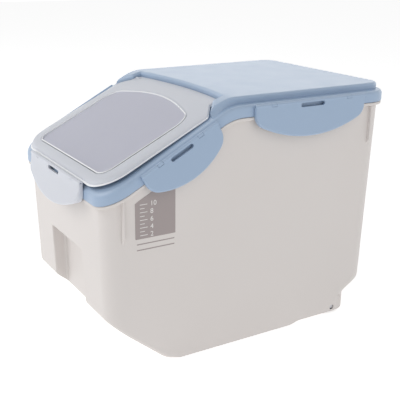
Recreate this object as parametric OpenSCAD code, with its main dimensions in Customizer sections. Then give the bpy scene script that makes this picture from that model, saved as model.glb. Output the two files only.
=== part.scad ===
// Rice bin with a flip lid: a drafted storage bin whose rim slopes down to the front,
// a lift-off lid held by four side latches, and a see-through flip lid over the pour opening.
// Seen from above, x = 0 is the middle, y grows from the front edge of the lid to the back,
// and z = 0 is the floor. Each node is then shifted so that the origin is mid-length.

/* [Overall] */
// Length of the lid over its skirt
lid_l = 350; // [330:1:370]
// Width of the lid over its skirt
lid_w = 238.4; // [230:0.2:250]
// Height of the bin's rim behind the slope, up to the bottom of the lid's skirt
body_h = 250; // [235:1:265]
// Slope of the front part of the lid
slope = 27.8; // [24:0.2:30]
// Distance from the front edge of the lid to the foot of the level part
bend_y = 140; // [132:1:146]
// Radius of the bend in the lid
bend_r = 50; // [35:1:60]

/* [Bin body] */
// Wall thickness of the bin
wall_t = 2.4; // [2:0.1:3]
// Thickness of the bin's floor
floor_t = 2.6; // [2:0.1:3.5]
// Distance from the lid's skirt face in to the bin wall, level with the rim
rim_inset = 4.8; // [4.6:0.1:5.4]
// How much the bin narrows on each side down to the floor
side_draft = 2.8; // [1:0.1:5]
// How much the front wall leans back over the full height
front_draft = 6.4; // [3:0.1:8]
// Distance from the front edge of the lid back to the front wall, level with the rear rim
front_inset = 2.6; // [2.5:0.1:3.2]
// How much the rear wall leans forward over the full height
rear_draft = 9; // [5:0.5:12]
// Height of the rim flange that the latches hook under
lip_t = 3.2; // [2.5:0.1:4]
// How far the rim flange stays inside the face of the lid's skirt
lip_inset = 0.3; // [0.2:0.1:1]
// Height of the chamfer under the front wall
chamfer_z = 52.5; // [40:0.5:60]
// Where the chamfer meets the flat base
chamfer_y = 71.5; // [60:0.5:80]
// Where the flat base ends and the base starts to lift
base_end = 226; // [215:1:235]
// Length of the lifting stretch of the base
lift_run = 16; // [12:1:24]
// How far the rear end of the base is lifted clear of the floor
base_lift = 3; // [2:0.1:3.5]
// How far the rear foot is set in from the lid's rear edge
foot_inset = 34.5; // [30:0.5:38]
// Height of the rear foot, below its sloping shoulder
foot_h = 20; // [19:0.5:24]
// Height of the shoulder that joins the foot to the rear wall
shoulder_h = 20; // [14:0.5:24]

/* [Hand notch and ribs] */
// Width of the hand notch in the front wall
notch_w = 86; // [70:1:100]
// Top of the hand notch
notch_top = 113; // [100:1:120]
// Depth of the hand notch, measured at its top
notch_d = 15; // [10:0.5:18]
// Length of the upright ribs below the rim
rib_l = 45.5; // [30:0.5:48]
// Thickness of the upright ribs
rib_t = 1.6; // [1.2:0.1:2.5]
// How far the upright ribs stand out of the wall
rib_out = 3.9; // [1:0.1:4.1]
// Height of the slanting point at the foot of a rib
rib_point = 6; // [4:0.5:10]
// Distance from the lid's front edge to the front ribs
rib_front = 21; // [18:0.5:26]
// Distance from the lid's rear edge to the rear ribs
rib_rear = 28; // [24:0.5:34]

/* [Rollers] */
// Radius of the rollers
roller_r = 8; // [7.5:0.1:8.5]
// Width of the rollers
roller_w = 13; // [10:0.5:14]
// Distance from the lid's rear edge forward to the roller axis
roller_back = 61.4; // [58:0.2:64]
// How far the outer face of a roller is inboard of the foot's side wall
roller_in = 9; // [8:0.5:11]
// Radius of the axle pins
axle_r = 2.9; // [2.5:0.1:3.2]
// Radius of the hub sleeve that keeps a roller in place
hub_r = 5; // [4.5:0.1:5.5]
// Depth of the hole that an axle pin's end is sunk in
axle_sink = 1.5; // [1:0.1:2]
// Thickness of the inner bearing wall of a roller well
bearing_t = 5; // [4:0.1:6]
// Room round a roller in its well
well_gap = 2; // [1.5:0.1:2.5]

/* [Main lid] */
// Thickness of the lid's top
lid_t = 2.2; // [1.8:0.1:2.6]
// Height of the lid's skirt
skirt_h = 12; // [11:0.5:14]
// Thickness of the lid's skirt
skirt_t = 2.2; // [1.8:0.1:2.3]
// Corner radius of the lid seen from above
lid_r = 28; // [24:1:32]
// Rise of the raised panel above the ledge round it
panel_rise = 7.3; // [6:0.1:9]
// Width of the ledge beside the raised panel
ledge_w = 11.2; // [10:0.1:12]
// Width of the ledge behind the raised panel
ledge_back = 4.9; // [4:0.1:7]
// Corner radius of the raised panel
panel_r = 17; // [14:1:20]
// Middle of the wall behind the flip lid, from the front edge of the lid
recess_y = 152; // [150.5:0.5:154]
// Radius of the shallow curve of that wall
recess_r = 495; // [400:5:600]
// Width of each of the panel's two cheeks beside that recess
cheek_w = 17; // [16:0.5:20]
// Where the cheeks' slanting front faces start, at the outer edge of the panel
cheek_y = 119.8; // [118.5:0.1:121]
// Length of the cheeks' slanting front faces, front to back
cheek_run = 13.2; // [12:0.2:14]

/* [Pour opening] */
// Width of the pour opening
pour_w = 156; // [140:1:160]
// Front end of the pour opening
pour_y0 = 20; // [18:0.5:26]
// Rear end of the pour opening
pour_y1 = 112; // [104:0.5:112]
// Corner radius of the pour opening
pour_r = 16; // [12:0.5:20]
// Thickness of the collar round the pour opening
collar_t = 2; // [1.6:0.1:2.2]
// Depth of the collar below the top of the lid
collar_h = 9; // [7:0.5:11]
// How far the collar stands above the lid
collar_up = 1.2; // [0.8:0.1:1.4]

/* [Flip lid] */
// Distance from the lid's side in to the flip lid's side
flip_in = 10.4; // [9.8:0.1:14]
// Gap under the flip lid's flange
flip_gap = 0.8; // [0.6:0.1:0.9]
// Thickness of the narrow flange at the foot of the flip lid
flange_t = 1.3; // [1:0.1:1.8]
// Distance from the front edge of the lid to the flip lid's front edge
flip_y0 = 0.8; // [0.6:0.1:1.2]
// Corner radius of the flip lid's front corners
flip_r = 30; // [26:1:34]
// Width of the flange round the raised part
flange_w = 1; // [0.8:0.1:1.5]
// Rise of the raised part above the lid's ledge, measured upright
flip_rise = 4.8; // [4.6:0.1:5.2]
// Thickness of the raised part's top and sides
flip_t = 1.6; // [1.4:0.1:1.7]
// Level of the flat heel behind the hinge, above the level ledge
heel_rise = 1.1; // [0.8:0.1:1.5]
// Width of the window
window_w = 170; // [160:1:174]
// Front and rear end of the window
window_y = [14, 113.5];
// Radius of the window's front corners
window_r0 = 12; // [8:1:16]
// Radius of the window's rear corners
window_r1 = 40; // [30:1:44]
// Width of the bead round the window
bead_w = 1.6; // [1.2:0.1:2.4]
// Height of the bead round the window
bead_h = 0.9; // [0.5:0.1:1.2]
// Distance from the front edge of the lid to the flip lid's hinge
pivot_y = 138; // [137.5:0.1:139]
// Radius of the flip lid's hinge pins
pivot_r = 1.2; // [1:0.05:1.3]
// Radius of the flip lid's hinge knuckles, whose tops are level with the heel
knuckle_r = 2.2; // [2.1:0.05:2.4]
// Length of each hinge knuckle
knuckle_l = 9; // [7:0.5:11]
// How deep each hinge pin is held in its cheek
pivot_grip = 4; // [3:0.5:6]

/* [Seals] */
// Height of the lid's silicone seal
seal_h = 3; // [2.5:0.1:3.5]
// Width of the lid's silicone seal
seal_w = 5; // [4:0.1:5.5]
// Width of the flip lid's silicone seal
flip_seal_w = 4; // [3:0.1:4.6]

/* [Side latches] */
// Length of the rear side latches
rear_latch_l = 142; // [130:1:150]
// Middle of the rear side latches, from the front edge of the lid
rear_latch_y = 235; // [232:0.5:240]
// Length of the front side latches, along the slope
front_latch_l = 93; // [86:1:96]
// Middle of the front side latches, along the slope from the front edge of the lid
front_latch_s = 88; // [86:0.5:90]
// Depth of the rear side latches
rear_latch_d = 38; // [34:0.5:42]
// Depth of the front side latches
front_latch_d = 35.2; // [32:0.2:38]
// Radius of the rear latches' lower edge
rear_latch_r = 148; // [130:1:170]
// Radius of the front latches' lower edge
front_latch_r = 78; // [72:1:110]
// Radius of the latches' lower corners
latch_corner_r = 16; // [10:1:18]
// Length of the slot in a rear latch
rear_slot_l = 31; // [20:0.5:34]
// Length of the slot in a front latch
front_slot_l = 27; // [18:0.5:28]

/* [Flip latch] */
// Width of the flip latch
flip_latch_l = 141; // [130:1:150]
// Depth of the flip latch
flip_latch_d = 37; // [34:0.5:42]
// Radius of the flip latch's lower edge
flip_latch_r = 150; // [110:1:170]
// Radius of the flip latch's lower corners
flip_corner_r = 12; // [10:1:14]
// Height of the flip latch's top above the lid's front edge
flip_latch_up = 6.7; // [6.4:0.1:7]
// Length of the slot in the flip latch
flip_slot_l = 29.5; // [20:0.5:34]

/* [Latch hinges] */
// Distance from the face of the lid's skirt out to a latch hinge
hinge_out = 2.3; // [2.2:0.1:2.6]
// Radius of a latch's hinge barrel
barrel_r = 2; // [1.8:0.1:2]
// Radius of a latch's hinge pin
pin_r = 0.9; // [0.7:0.05:1]
// How far the barrel's top lies below the lid's ledge
barrel_drop = 0.2; // [0.1:0.1:0.5]
// Thickness of a latch
latch_t = 1.9; // [1.6:0.1:2]
// How far the latch's face stands out at the barrel, past the hinge line
band_out = 1.6; // [1.4:0.1:1.8]
// How far the latch's face stands out below its sloping band, past the hinge line
face_out = 2.6; // [2.4:0.1:3]
// Depth of the sloping band at the top of a latch
band_d = 9.5; // [8:0.5:11]
// How far a side latch's lower edge stands out past its band
side_flare = 1.5; // [0:0.1:3]
// How far the flip latch's lower edge stands out past its band
flip_flare = 7; // [0:0.5:9]
// Width of an ear that carries a latch pin
ear_w = 6; // [5:0.5:8]
// Distance from a latch's end to the middle of its ear
ear_inset = 22; // [18:1:26]
// How far a side latch's ears are rooted inside the face of the skirt
ear_root = 2; // [1.6:0.1:2]
// Depth below the ledge at which a latch's slot starts
slot_top = 2.9; // [2.7:0.1:3.2]
// Height of a latch's slot
slot_h = 4.6; // [4:0.1:5]
// Height of the catch ridge inside a latch
hook_h = 2.2; // [1.8:0.1:3]
// How far the catch rib on the front of the skirt stands out
catch_out = 1.2; // [0.8:0.1:1.4]

/* [Label] */
// Thickness of the printed label
label_t = 0.3; // [0.2:0.05:0.5]
// Front and rear edge of the label
label_y = [34, 77.5];
// Bottom edge of the label
label_z = 142; // [136:0.5:148]
// Distance from the lid's ledge down to the label's sloping top edge
label_drop = 27.6; // [26:0.2:30]

/* [Clearances] */
// Running clearance of a pin in a bore that turns on it, on the radius
run_gap = 0.06; // [0.03:0.01:0.09]
// Clearance of a pin in a bore that holds it still, on the radius
hold_gap = 0.02; // [0.01:0.01:0.03]
// Gap between pieces that move past each other
move_gap = 0.3; // [0.25:0.05:0.4]
// Gap between the flip lid's edge and the cheeks
cheek_gap = 2.6; // [2.2:0.1:3]
// Gap below the lid's skirt
skirt_gap = 0.5; // [0.4:0.1:0.8]
// Gap between a rubber seal and the edge that it closes on
seal_gap = 0.3; // [0.2:0.05:0.4]

/* [Hidden] */
$fn = 64;
hull_fn = 32;
arc_steps = 8;
slice = 0.01;              // thickness of the thin slices that a loft is hulled from
over = 1;                  // how far cutting shapes run past what they cut

blue = [0.66, 0.76, 0.87];
cream = [0.84, 0.82, 0.81];
clear_pp = [0.86, 0.89, 0.94, 0.6];
silicone = [0.93, 0.94, 0.95];
steel = [0.75, 0.76, 0.78];
label_grey = [0.62, 0.58, 0.57];

ledge_z = body_h + skirt_h;                         // level ledge of the lid
front_z = ledge_z - bend_y * tan(slope);            // ledge at the front edge of the lid
upstand_drop = lid_t + seal_h + seal_gap;           // ledge to the top of the bin's rim
lip_drop = skirt_h + skirt_gap;                     // ledge to the top of the rim flange
body_r = lid_r - rim_inset;                         // corner radius of the bin
panel_half = lid_w / 2 - ledge_w;
recess_half = panel_half - cheek_w;
foot_y = lid_l - foot_inset;
base_run = [chamfer_y - (front_inset + front_draft), chamfer_z];
chamfer_n = [base_run[1], base_run[0]] / norm(base_run);   // into the bin, square to the chamfer
heel_z = ledge_z + heel_rise;
pivot_z = heel_z - knuckle_r;
trough_r = recess_y - pivot_y;                      // trough that the heel swings down into
flip_half = lid_w / 2 - flip_in;
heel_half = recess_half - move_gap * 2;
roller_y = lid_l - roller_back;
well_y = roller_r + well_gap;
well_top = 2 * roller_r + well_gap;
hinge_drop = barrel_drop + barrel_r;                // ledge down to a latch's hinge line
hook_tip = -lip_inset + move_gap;                   // past the skirt's face: just outside the flange
lean = atan(side_draft / body_h);

// Half-width, front and rear of the bin's outer surface at height z
function side_x(z) = lid_w / 2 - rim_inset - side_draft * (1 - z / body_h);
function wall_y0(z) = front_inset + front_draft * (1 - z / body_h);
function wall_y1(z) = lid_l - rim_inset - rear_draft * (1 - z / body_h);

// A polygon's corners rounded: pts are its corners, radii one radius for each
function unit(v) = v / norm(v);
function corner_arc(a, b, c, r) =
    let(u = unit(a - b), v = unit(c - b), half = acos(u * v) / 2,
        mid = b + unit(u + v) * r / sin(half),
        start = b + u * r / tan(half), end = b + v * r / tan(half),
        a0 = atan2(start[1] - mid[1], start[0] - mid[0]),
        a1 = atan2(end[1] - mid[1], end[0] - mid[0]),
        turn = a1 - a0 > 180 ? a1 - a0 - 360 : a1 - a0 < -180 ? a1 - a0 + 360 : a1 - a0)
    [for (i = [0:arc_steps]) mid + r * [cos(a0 + turn * i / arc_steps), sin(a0 + turn * i / arc_steps)]];
function rounded(pts, radii) =
    let(n = len(pts))
    [for (i = [0:n - 1])
        each radii[i] == 0 ? [pts[i]]
            : corner_arc(pts[(i + n - 1) % n], pts[i], pts[(i + 1) % n], radii[i])];

// The lid's side view in (y, z): all that lies under the bent line through (foot, level)
module under(foot, level) {
    reach = 60;
    polygon(rounded([[-reach, level - (foot + reach) * tan(slope)], [foot, level],
                     [lid_l + reach, level], [lid_l + reach, -reach], [-reach, -reach]],
                    [0, bend_r, 0, 0, 0]));
}
// All that lies more than drop below the lid's ledge
module below(drop) { under(bend_y, ledge_z - drop); }
// The layer from drop0 to drop1 below the ledge
module layer(drop0, drop1) {
    difference() {
        below(drop0);
        below(drop1);
    }
}
// A (y, z) shape made w wide across the middle
module across(w) {
    translate([-w / 2, 0, 0]) rotate([90, 0, 90]) linear_extrude(w) children();
}
// A plan shape made into an upright block that passes through the whole lid
module upright() {
    translate([0, 0, -over]) linear_extrude(ledge_z + 60) children();
}
module rounded_box(x, y0, y1, r) {
    translate([-x + r, y0]) square([2 * (x - r), y1 - y0]);
    translate([-x, y0 + r]) square([2 * x, y1 - y0 - 2 * r]);
    for (sx = [-1, 1], y = [y0 + r, y1 - r])
        translate([sx * (x - r), y]) circle(r);
}
// The lid seen from above, its edge moved inwards by inset
module lid_plan(inset) { rounded_box(lid_w / 2 - inset, inset, lid_l - inset, lid_r - inset); }
module lid_ring(inset0, inset1) {
    difference() {
        lid_plan(inset0);
        lid_plan(inset1);
    }
}
module placed() { translate([0, -(lid_l - hinge_out - face_out - flip_flare) / 2, 0]) children(); }
module mirrored(side) { mirror([side < 0 ? 1 : 0, 0, 0]) children(); }

// ---- Bin body ----
module bin_slice(z, rear, inset) {
    translate([0, 0, z]) linear_extrude(slice)
        rounded_box(side_x(z) - inset, wall_y0(z) + inset, rear - inset, body_r - inset, $fn = hull_fn);
}
module bin_slab(z0, rear0, z1, rear1, inset) {
    hull() {
        bin_slice(z0, rear0, inset);
        bin_slice(z1, rear1, inset);
    }
}
module bin_loft(inset) {
    shoulder_z = foot_h + shoulder_h;
    shoulder_mid = foot_h + shoulder_h / 2;
    shoulder_y = (foot_y + wall_y1(shoulder_z)) / 2 + 2;
    bin_slab(shoulder_z + inset, wall_y1(shoulder_z), ledge_z, wall_y1(ledge_z), inset);
    bin_slab(0, foot_y, foot_h + inset, foot_y, inset);
    if (inset == 0) {
        bin_slab(foot_h, foot_y, shoulder_mid, shoulder_y, inset);
        bin_slab(shoulder_mid, shoulder_y, shoulder_z, wall_y1(shoulder_z), inset);
    } else {
        bin_slab(foot_h + inset, foot_y, shoulder_z + inset, wall_y1(shoulder_z), inset);
    }
}
// Side view of the base: chamfer, flat stretch and lifted rear end, moved up by t
module base_line(t) {
    top = ledge_z + 60;
    rise = [for (i = [0:arc_steps]) [base_end + lift_run * i / arc_steps,
                                     t + base_lift * (1 - cos(180 * i / arc_steps)) / 2]];
    start = [chamfer_y + chamfer_n[0] * t - (t - chamfer_n[1] * t) * base_run[0] / base_run[1], t];
    tip = start + [-base_run[0], base_run[1]] * 1.2;
    polygon(concat([[lid_l + over, top], [tip[0], top], tip, start], rise,
                   [[lid_l + over, t + base_lift]]));
}
module notch(grow) {
    depth = wall_y0(notch_top) + notch_d + grow;
    translate([-notch_w / 2 - grow, -over, -over]) cube([notch_w + 2 * grow, depth + over, notch_top + grow + over]);
}
module roller_well(grow) {
    x1 = side_x(0) - wall_t;
    x0 = side_x(0) - roller_in - roller_w - move_gap;
    translate([x0 - (grow > 0 ? bearing_t : 0), roller_y - well_y - grow, -over])
        cube([x1 - x0 + (grow > 0 ? bearing_t + wall_t / 2 : 0), 2 * (well_y + grow), well_top + grow + over]);
}
module bin_rib(y, drop) {
    z1 = ledge_z - max(0, bend_y - y) * tan(slope) - lip_drop - drop;
    z0 = z1 - rib_l;
    translate([0, y + rib_t / 2, 0]) rotate([90, 0, 0]) linear_extrude(rib_t)
        polygon([[side_x(z0) - wall_t / 2, z0], [side_x(z0), z0],
                 [side_x(z0 + rib_point) + rib_out, z0 + rib_point],
                 [side_x(z1) + rib_out, z1], [side_x(z1) - wall_t / 2, z1]]);
}
module bin_body() {
    color(cream) placed() difference() {
        union() {
            difference() {
                intersection() {
                    bin_loft(0);
                    across(lid_w) intersection() {
                        base_line(0);
                        below(upstand_drop);
                    }
                }
                difference() {
                    intersection() {
                        bin_loft(wall_t);
                        across(lid_w) base_line(floor_t);
                    }
                    notch(wall_t);
                    for (side = [-1, 1]) mirrored(side) roller_well(wall_t);
                }
            }
            intersection() {
                upright() lid_ring(lip_inset, rim_inset + wall_t / 2);
                across(lid_w) layer(lip_drop, lip_drop + lip_t);
            }
            for (side = [-1, 1], at = [[rib_front, lip_t / 2], [lid_l - rib_rear, lip_t / 2]])
                mirrored(side) bin_rib(at[0], at[1]);
        }
        notch(0);
        for (side = [-1, 1]) mirrored(side) {
            roller_well(0);
            translate([0, roller_y, roller_r]) rotate([0, 90, 0]) {
                translate([0, 0, axle_x0()]) cylinder(r = axle_r + hold_gap, h = lid_w / 2 - axle_x0());
                translate([0, 0, side_x(roller_r) - axle_sink])
                    cylinder(r = axle_r + move_gap * 2, h = axle_sink + over);
            }
        }
    }
}
function axle_x0() = side_x(0) - roller_in - roller_w - move_gap - bearing_t / 2;

module axle_pin(side) {
    color(steel) placed() mirrored(side)
        translate([axle_x0() + move_gap, roller_y, roller_r]) rotate([0, 90, 0])
            cylinder(r = axle_r, h = side_x(roller_r) - axle_sink - axle_x0() - move_gap);
}
module roller(side) {
    crown = 1;
    x0 = side_x(0) - roller_in - roller_w;
    x1 = side_x(0) - wall_t - move_gap;
    color(label_grey) placed() mirrored(side) translate([x0, roller_y, roller_r]) rotate([0, 90, 0])
        difference() {
            union() {
                rotate_extrude() polygon([[0, 0], [roller_r - crown, 0], [roller_r, crown],
                                          [roller_r, roller_w - crown], [roller_r - crown, roller_w], [0, roller_w]]);
                cylinder(r = hub_r, h = x1 - x0);
            }
            translate([0, 0, -over]) cylinder(r = axle_r + run_gap, h = x1 - x0 + 2 * over);
        }
}
module level_label() {
    stand_off = 0.02;
    color(label_grey) placed() translate([side_x(0) + stand_off, 0, 0]) rotate([0, lean, 0])
        rotate([90, 0, 90]) linear_extrude(label_t) intersection() {
            translate([label_y[0], label_z]) square([label_y[1] - label_y[0], ledge_z]);
            below(label_drop);
        }
}

// ---- Main lid ----
// Plan of the recess behind the flip lid's hinge, grown by grow
module recess_plan(grow) {
    intersection() {
        translate([-recess_half - grow, pivot_y - trough_r - over - grow])
            square([2 * (recess_half + grow), recess_y]);
        translate([0, recess_y - recess_r]) circle(recess_r + grow, $fn = 360);
    }
}
// Plan of all that lies in front of the cheeks' slanting faces, moved back by grow
module cheek_front(grow) {
    y0 = cheek_y + grow;
    y1 = y0 + cheek_run;
    w = panel_half + over;
    polygon([[-w, -over], [w, -over], [w, y0], [panel_half, y0], [recess_half, y1],
             [-recess_half, y1], [-panel_half, y0], [-w, y0]]);
}
module panel_plan(inset) {
    difference() {
        rounded_box(panel_half - inset, pour_y1, lid_l - ledge_back - inset, panel_r - inset);
        recess_plan(inset);
        cheek_front(inset * 1.4);
    }
}
module pour_plan(grow) {
    rounded_box(pour_w / 2 + grow, pour_y0 - grow, pour_y1 + grow, pour_r + grow);
}
module trough_side(grow) {
    translate([pivot_y, pivot_z]) circle(trough_r + grow, $fn = 96);
}
module main_lid() {
    color(blue) placed() {
        difference() {
            union() {
                intersection() {
                    upright() lid_plan(0);
                    across(lid_w) layer(0, lid_t);
                }
                intersection() {
                    upright() lid_ring(0, skirt_t);
                    across(lid_w) layer(0, skirt_h);
                }
                intersection() {
                    upright() panel_plan(0);
                    across(lid_w) layer(-panel_rise, lid_t);
                }
                intersection() {
                    upright() lid_ring(rim_inset + seal_w - 0.6, rim_inset + seal_w + 0.9);
                    across(lid_w) layer(0, lid_t + seal_h + 4);
                }
                intersection() {
                    upright() recess_plan(lid_t);
                    across(lid_w) intersection() {
                        trough_side(lid_t);
                        below(0);
                    }
                }
                intersection() {
                    upright() pour_plan(collar_t);
                    across(lid_w) layer(-collar_up, collar_h);
                }
                for (side = [-1, 1]) mirrored(side)
                    along_pivot(recess_half + lid_t / 2, pivot_r + 1.6, pivot_grip);
            }
            intersection() {
                upright() panel_plan(lid_t);
                across(lid_w) below(-panel_rise + lid_t);
            }
            intersection() {
                upright() recess_plan(0);
                across(lid_w) union() {
                    trough_side(0);
                    translate([pivot_y - trough_r, pivot_z]) square([lid_l, 40]);
                }
            }
            upright() pour_plan(0);
            for (side = [-1, 1]) mirrored(side)
                along_pivot(recess_half - over, pivot_r + hold_gap, pivot_grip + lid_t + over);
        }
        for (side = [-1, 1]) mirrored(side) {
            latch_at_rear() latch_ears(rear_latch_l, ear_root);
            latch_at_front() latch_ears(front_latch_l, ear_root);
        }
        skirt_catch();
    }
}
// A cylinder on the flip lid's hinge line, from x outwards
module along_pivot(x, r, length) {
    translate([x, pivot_y, pivot_z]) rotate([0, 90, 0]) cylinder(r = r, h = length);
}
// The rib on the front of the skirt that the flip latch's ridge closes under
module skirt_catch() {
    z = front_z + flip_latch_up - flip_hook();
    translate([-flip_latch_l / 2 + latch_corner_r, -catch_out, z + move_gap])
        cube([flip_latch_l - 2 * latch_corner_r, catch_out + skirt_t / 2, hook_h]);
}
function flip_hook() = flip_latch_up + skirt_h - hook_h - 1;

// ---- Latches: drawn with x out of the skirt's face, y along the hinge, z = 0 at the ledge ----
module latch_at_rear() { translate([lid_w / 2, rear_latch_y, ledge_z]) children(); }
module latch_at_front() {
    translate([lid_w / 2, 0, front_z]) rotate([slope, 0, 0]) translate([0, front_latch_s, 0]) children();
}
module latch_at_flip() { translate([0, 0, front_z + flip_latch_up]) rotate([0, 0, -90]) children(); }

module along_hinge(r, length) {
    translate([hinge_out, length / 2, -hinge_drop]) rotate([90, 0, 0]) cylinder(r = r, h = length);
}
function ear_y(length) = length / 2 - ear_inset;
module latch_ears(length, root) {
    for (s = [-1, 1]) translate([0, s * ear_y(length), 0]) difference() {
        union() {
            along_hinge(barrel_r, ear_w);
            translate([-root, -ear_w / 2, -hinge_drop - barrel_r / 2])
                cube([hinge_out + root, ear_w, barrel_r]);
        }
        along_hinge(pin_r + hold_gap, ear_w + 2 * over);
    }
}
// Outline of a latch in (y, z): straight ends, round corners and a shallow round lower edge
module latch_outline(length, depth, edge_r, corner_r) {
    h = length / 2;
    c = [h - corner_r, -depth + edge_r - sqrt(pow(edge_r - corner_r, 2) - pow(h - corner_r, 2))];
    side = atan2(c[1] + depth - edge_r, c[0]);
    edge = [for (i = [0:2 * arc_steps]) let(a = side - (2 * side + 180) * i / (2 * arc_steps))
            [edge_r * cos(a), -depth + edge_r + edge_r * sin(a)]];
    right = [for (i = [0:arc_steps - 1]) let(a = side * i / arc_steps) c + corner_r * [cos(a), sin(a)]];
    left = [for (i = [arc_steps - 1:-1:0]) [-right[i][0], right[i][1]]];
    polygon(concat([[-h, 0], [h, 0]], right, edge, left));
}
// Section of a latch in (x, z): a sloping band below the barrel, then a plate that flares outwards
// to its lower edge, with its ridge
module latch_section(depth, flare, hook_z, hook_x) {
    x1 = hinge_out + face_out;
    lean = flare / (depth - band_d);
    inner = x1 - latch_t + lean * (hook_z - band_d);
    polygon([[hinge_out + band_out, -hinge_drop + 1], [x1, -band_d], [x1 + flare, -depth],
             [x1 + flare - latch_t, -depth], [inner + lean * hook_h, -hook_z - hook_h],
             [hook_x, -hook_z - hook_h / 2], [hook_x, -hook_z], [inner, -hook_z],
             [x1 - latch_t, -band_d], [hinge_out, -hinge_drop - barrel_r / 2]]);
}
module latch(length, depth, edge_r, corner_r, flare, slot_l, hook_z, hook_x) {
    ear = ear_w + 2 * move_gap;
    difference() {
        union() {
            intersection() {
                rotate([90, 0, 90]) linear_extrude(2 * (hinge_out + face_out + flare))
                    latch_outline(length, depth, edge_r, corner_r);
                translate([0, length, 0]) rotate([90, 0, 0]) linear_extrude(2 * length)
                    latch_section(depth, flare, hook_z, hook_x);
            }
            along_hinge(barrel_r, length);
        }
        along_hinge(pin_r + run_gap, length + 2 * over);
        for (s = [-1, 1]) translate([0, s * ear_y(length), 0]) {
            along_hinge(barrel_r + move_gap, ear);
            translate([-over, -ear / 2, -hinge_drop - barrel_r])
                cube([hinge_out + over, ear, 2 * barrel_r]);
        }
        for (s = [-1, 1]) translate([-over, s * (slot_l - slot_h) / 2, -slot_top - slot_h / 2])
            rotate([0, 90, 0]) cylinder(d = slot_h, h = 4 * hinge_out);
        translate([-over, -(slot_l - slot_h) / 2, -slot_top - slot_h])
            cube([4 * hinge_out, slot_l - slot_h, slot_h]);
    }
}
module latch_pin(length) { color(steel) along_hinge(pin_r, length - 2); }
module side_latch(side, rear) {
    color(blue) placed() mirrored(side)
        if (rear) latch_at_rear() latch(rear_latch_l, rear_latch_d, rear_latch_r, latch_corner_r,
                                        side_flare, rear_slot_l, lip_drop + lip_t + move_gap, hook_tip);
        else latch_at_front() latch(front_latch_l, front_latch_d, front_latch_r, latch_corner_r,
                                    side_flare, front_slot_l, (lip_drop + lip_t) * cos(slope) + move_gap, hook_tip);
}
module side_latch_pin(side, rear) {
    placed() mirrored(side)
        if (rear) latch_at_rear() latch_pin(rear_latch_l);
        else latch_at_front() latch_pin(front_latch_l);
}

// ---- Seals ----
module main_lid_seal() {
    color(silicone) placed() intersection() {
        upright() lid_ring(rim_inset - 1, rim_inset + seal_w - 1);
        across(lid_w) layer(lid_t, lid_t + seal_h);
    }
}
module flip_lid_seal() {
    color(silicone) placed() intersection() {
        upright() difference() {
            pour_plan(flip_seal_w - collar_t / 2);
            pour_plan(-collar_t / 2);
        }
        across(lid_w) layer(-flip_rise + flip_t / cos(slope), -collar_up - seal_gap);
    }
}

// ---- Flip lid ----
// Side view of the flip lid: all under the line rise above the slope, level over the heel
module flip_under(rise) {
    foot = bend_y + (heel_rise - rise) / tan(slope);
    under(foot, heel_z);
}
module flip_skin(rise, t) {
    difference() {
        flip_under(rise);
        translate([0, -t]) flip_under(rise);
    }
}
// Plan of the flip lid, its edge moved inwards by inset; the heel fits between the cheeks
module flip_plan(inset) {
    x = flip_half - inset;
    heel = heel_half - inset;
    y0 = cheek_y - cheek_gap - inset * 0.6;
    front_r = flip_r - inset;
    rear = recess_y - move_gap * 3;
    intersection() {
        polygon(rounded([[-x, flip_y0 + inset], [x, flip_y0 + inset], [x, y0],
                         [heel, y0 + cheek_run], [heel, rear], [-heel, rear],
                         [-heel, y0 + cheek_run], [-x, y0]],
                        [front_r, front_r, 3, 3, 3, 3, 3, 3]));
        translate([0, rear - recess_r]) circle(recess_r, $fn = 360);
    }
}
module window_plan(grow) {
    w = window_w / 2 + grow;
    polygon(rounded([[-w, window_y[0] - grow], [w, window_y[0] - grow],
                     [w, window_y[1] + grow], [-w, window_y[1] + grow]],
                    [window_r0 + grow, window_r0 + grow, window_r1 + grow, window_r1 + grow]));
}
module flip_lid() {
    color(clear_pp) placed() difference() {
        union() {
            intersection() {
                upright() flip_plan(0);
                across(lid_w) flip_skin(flip_gap + flange_t, flange_t);
            }
            intersection() {
                upright() flip_plan(flange_w);
                across(lid_w) difference() {
                    flip_under(flip_rise);
                    flip_under(flip_gap);
                }
            }
            intersection() {
                upright() difference() {
                    window_plan(bead_w);
                    window_plan(0);
                }
                across(lid_w) flip_skin(flip_rise + bead_h, bead_h + flip_t / 2);
            }
            for (side = [-1, 1]) mirrored(side) along_pivot(heel_half - knuckle_l, knuckle_r, knuckle_l);
            latch_at_flip() latch_ears(flip_latch_l, flip_y0 + flange_w + flip_t / 2);
        }
        intersection() {
            upright() intersection() {
                flip_plan(flange_w + flip_t);
                translate([-flip_half, 0]) square([2 * flip_half, pivot_y - 2 * knuckle_r]);
            }
            across(lid_w) translate([0, -flip_t / cos(slope)]) flip_under(flip_rise);
        }
        for (side = [-1, 1]) mirrored(side)
            along_pivot(heel_half - knuckle_l - over, pivot_r + run_gap, knuckle_l + 2 * over);
    }
}
module flip_hinge_pin(side) {
    x0 = heel_half - knuckle_l + 1;
    color(steel) placed() mirrored(side)
        along_pivot(x0, pivot_r, recess_half + lid_t / 2 + pivot_grip - x0);
}
module flip_latch() {
    color(clear_pp) placed() latch_at_flip()
        latch(flip_latch_l, flip_latch_d, flip_latch_r, flip_corner_r, flip_flare, flip_slot_l,
              flip_hook(), catch_out + move_gap);
}
module flip_latch_pin() { placed() latch_at_flip() latch_pin(flip_latch_l); }

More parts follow.
